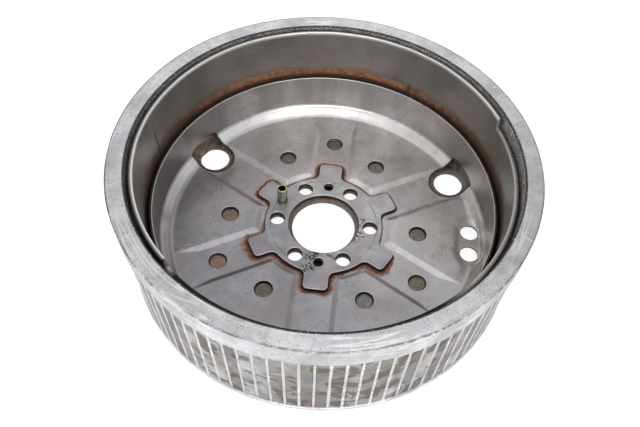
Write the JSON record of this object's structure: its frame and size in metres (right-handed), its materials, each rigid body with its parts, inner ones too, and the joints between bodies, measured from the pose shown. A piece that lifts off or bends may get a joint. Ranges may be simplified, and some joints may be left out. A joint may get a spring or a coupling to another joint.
{
  "type": "flywheel rotor",
  "caption": "Drum-shaped engine flywheel with a squirrel-cage rotor on its rim and a pressed dish that bolts to a crankshaft flange.",
  "frame": {"origin": "on the rotor axis in the plane of the closed rear end, which the part rests on", "axes": "+Z along the rotor axis towards the open end; +X through one of the six crankshaft bolt holes, the one nearest the pair of small holes"},
  "size_m": [0.315, 0.315, 0.101],
  "materials": {
    "cast_aluminium": "turned casting, scratched and pitted",
    "lamination_steel": "ground laminations with brown and violet stains",
    "sleeve_steel": "dull rolled steel, rusty band low down",
    "web_steel": "dull plate, rusty where it is seen",
    "dish_steel": "satin pressed sheet with oil stains",
    "hub_steel": "fine turned face with rust round its edge",
    "rivet_steel": "dark oiled steel",
    "pin_steel": "yellow plated rolled pin"
  },
  "bodies": {
    "root": {"rotor_cage": "cast_aluminium", "lamination_stack": "lamination_steel", "drum_sleeve": "sleeve_steel", "rear_web": "web_steel", "front_dish": "dish_steel", "hub_plate": "hub_steel", "dowel_pin": "pin_steel", "rivet_1": "rivet_steel", "rivet_2": "rivet_steel", "rivet_3": "rivet_steel", "rivet_4": "rivet_steel", "rivet_5": "rivet_steel", "rivet_6": "rivet_steel", "rivet_7": "rivet_steel", "rivet_8": "rivet_steel", "rivet_9": "rivet_steel"}
  },
  "joints": []
}
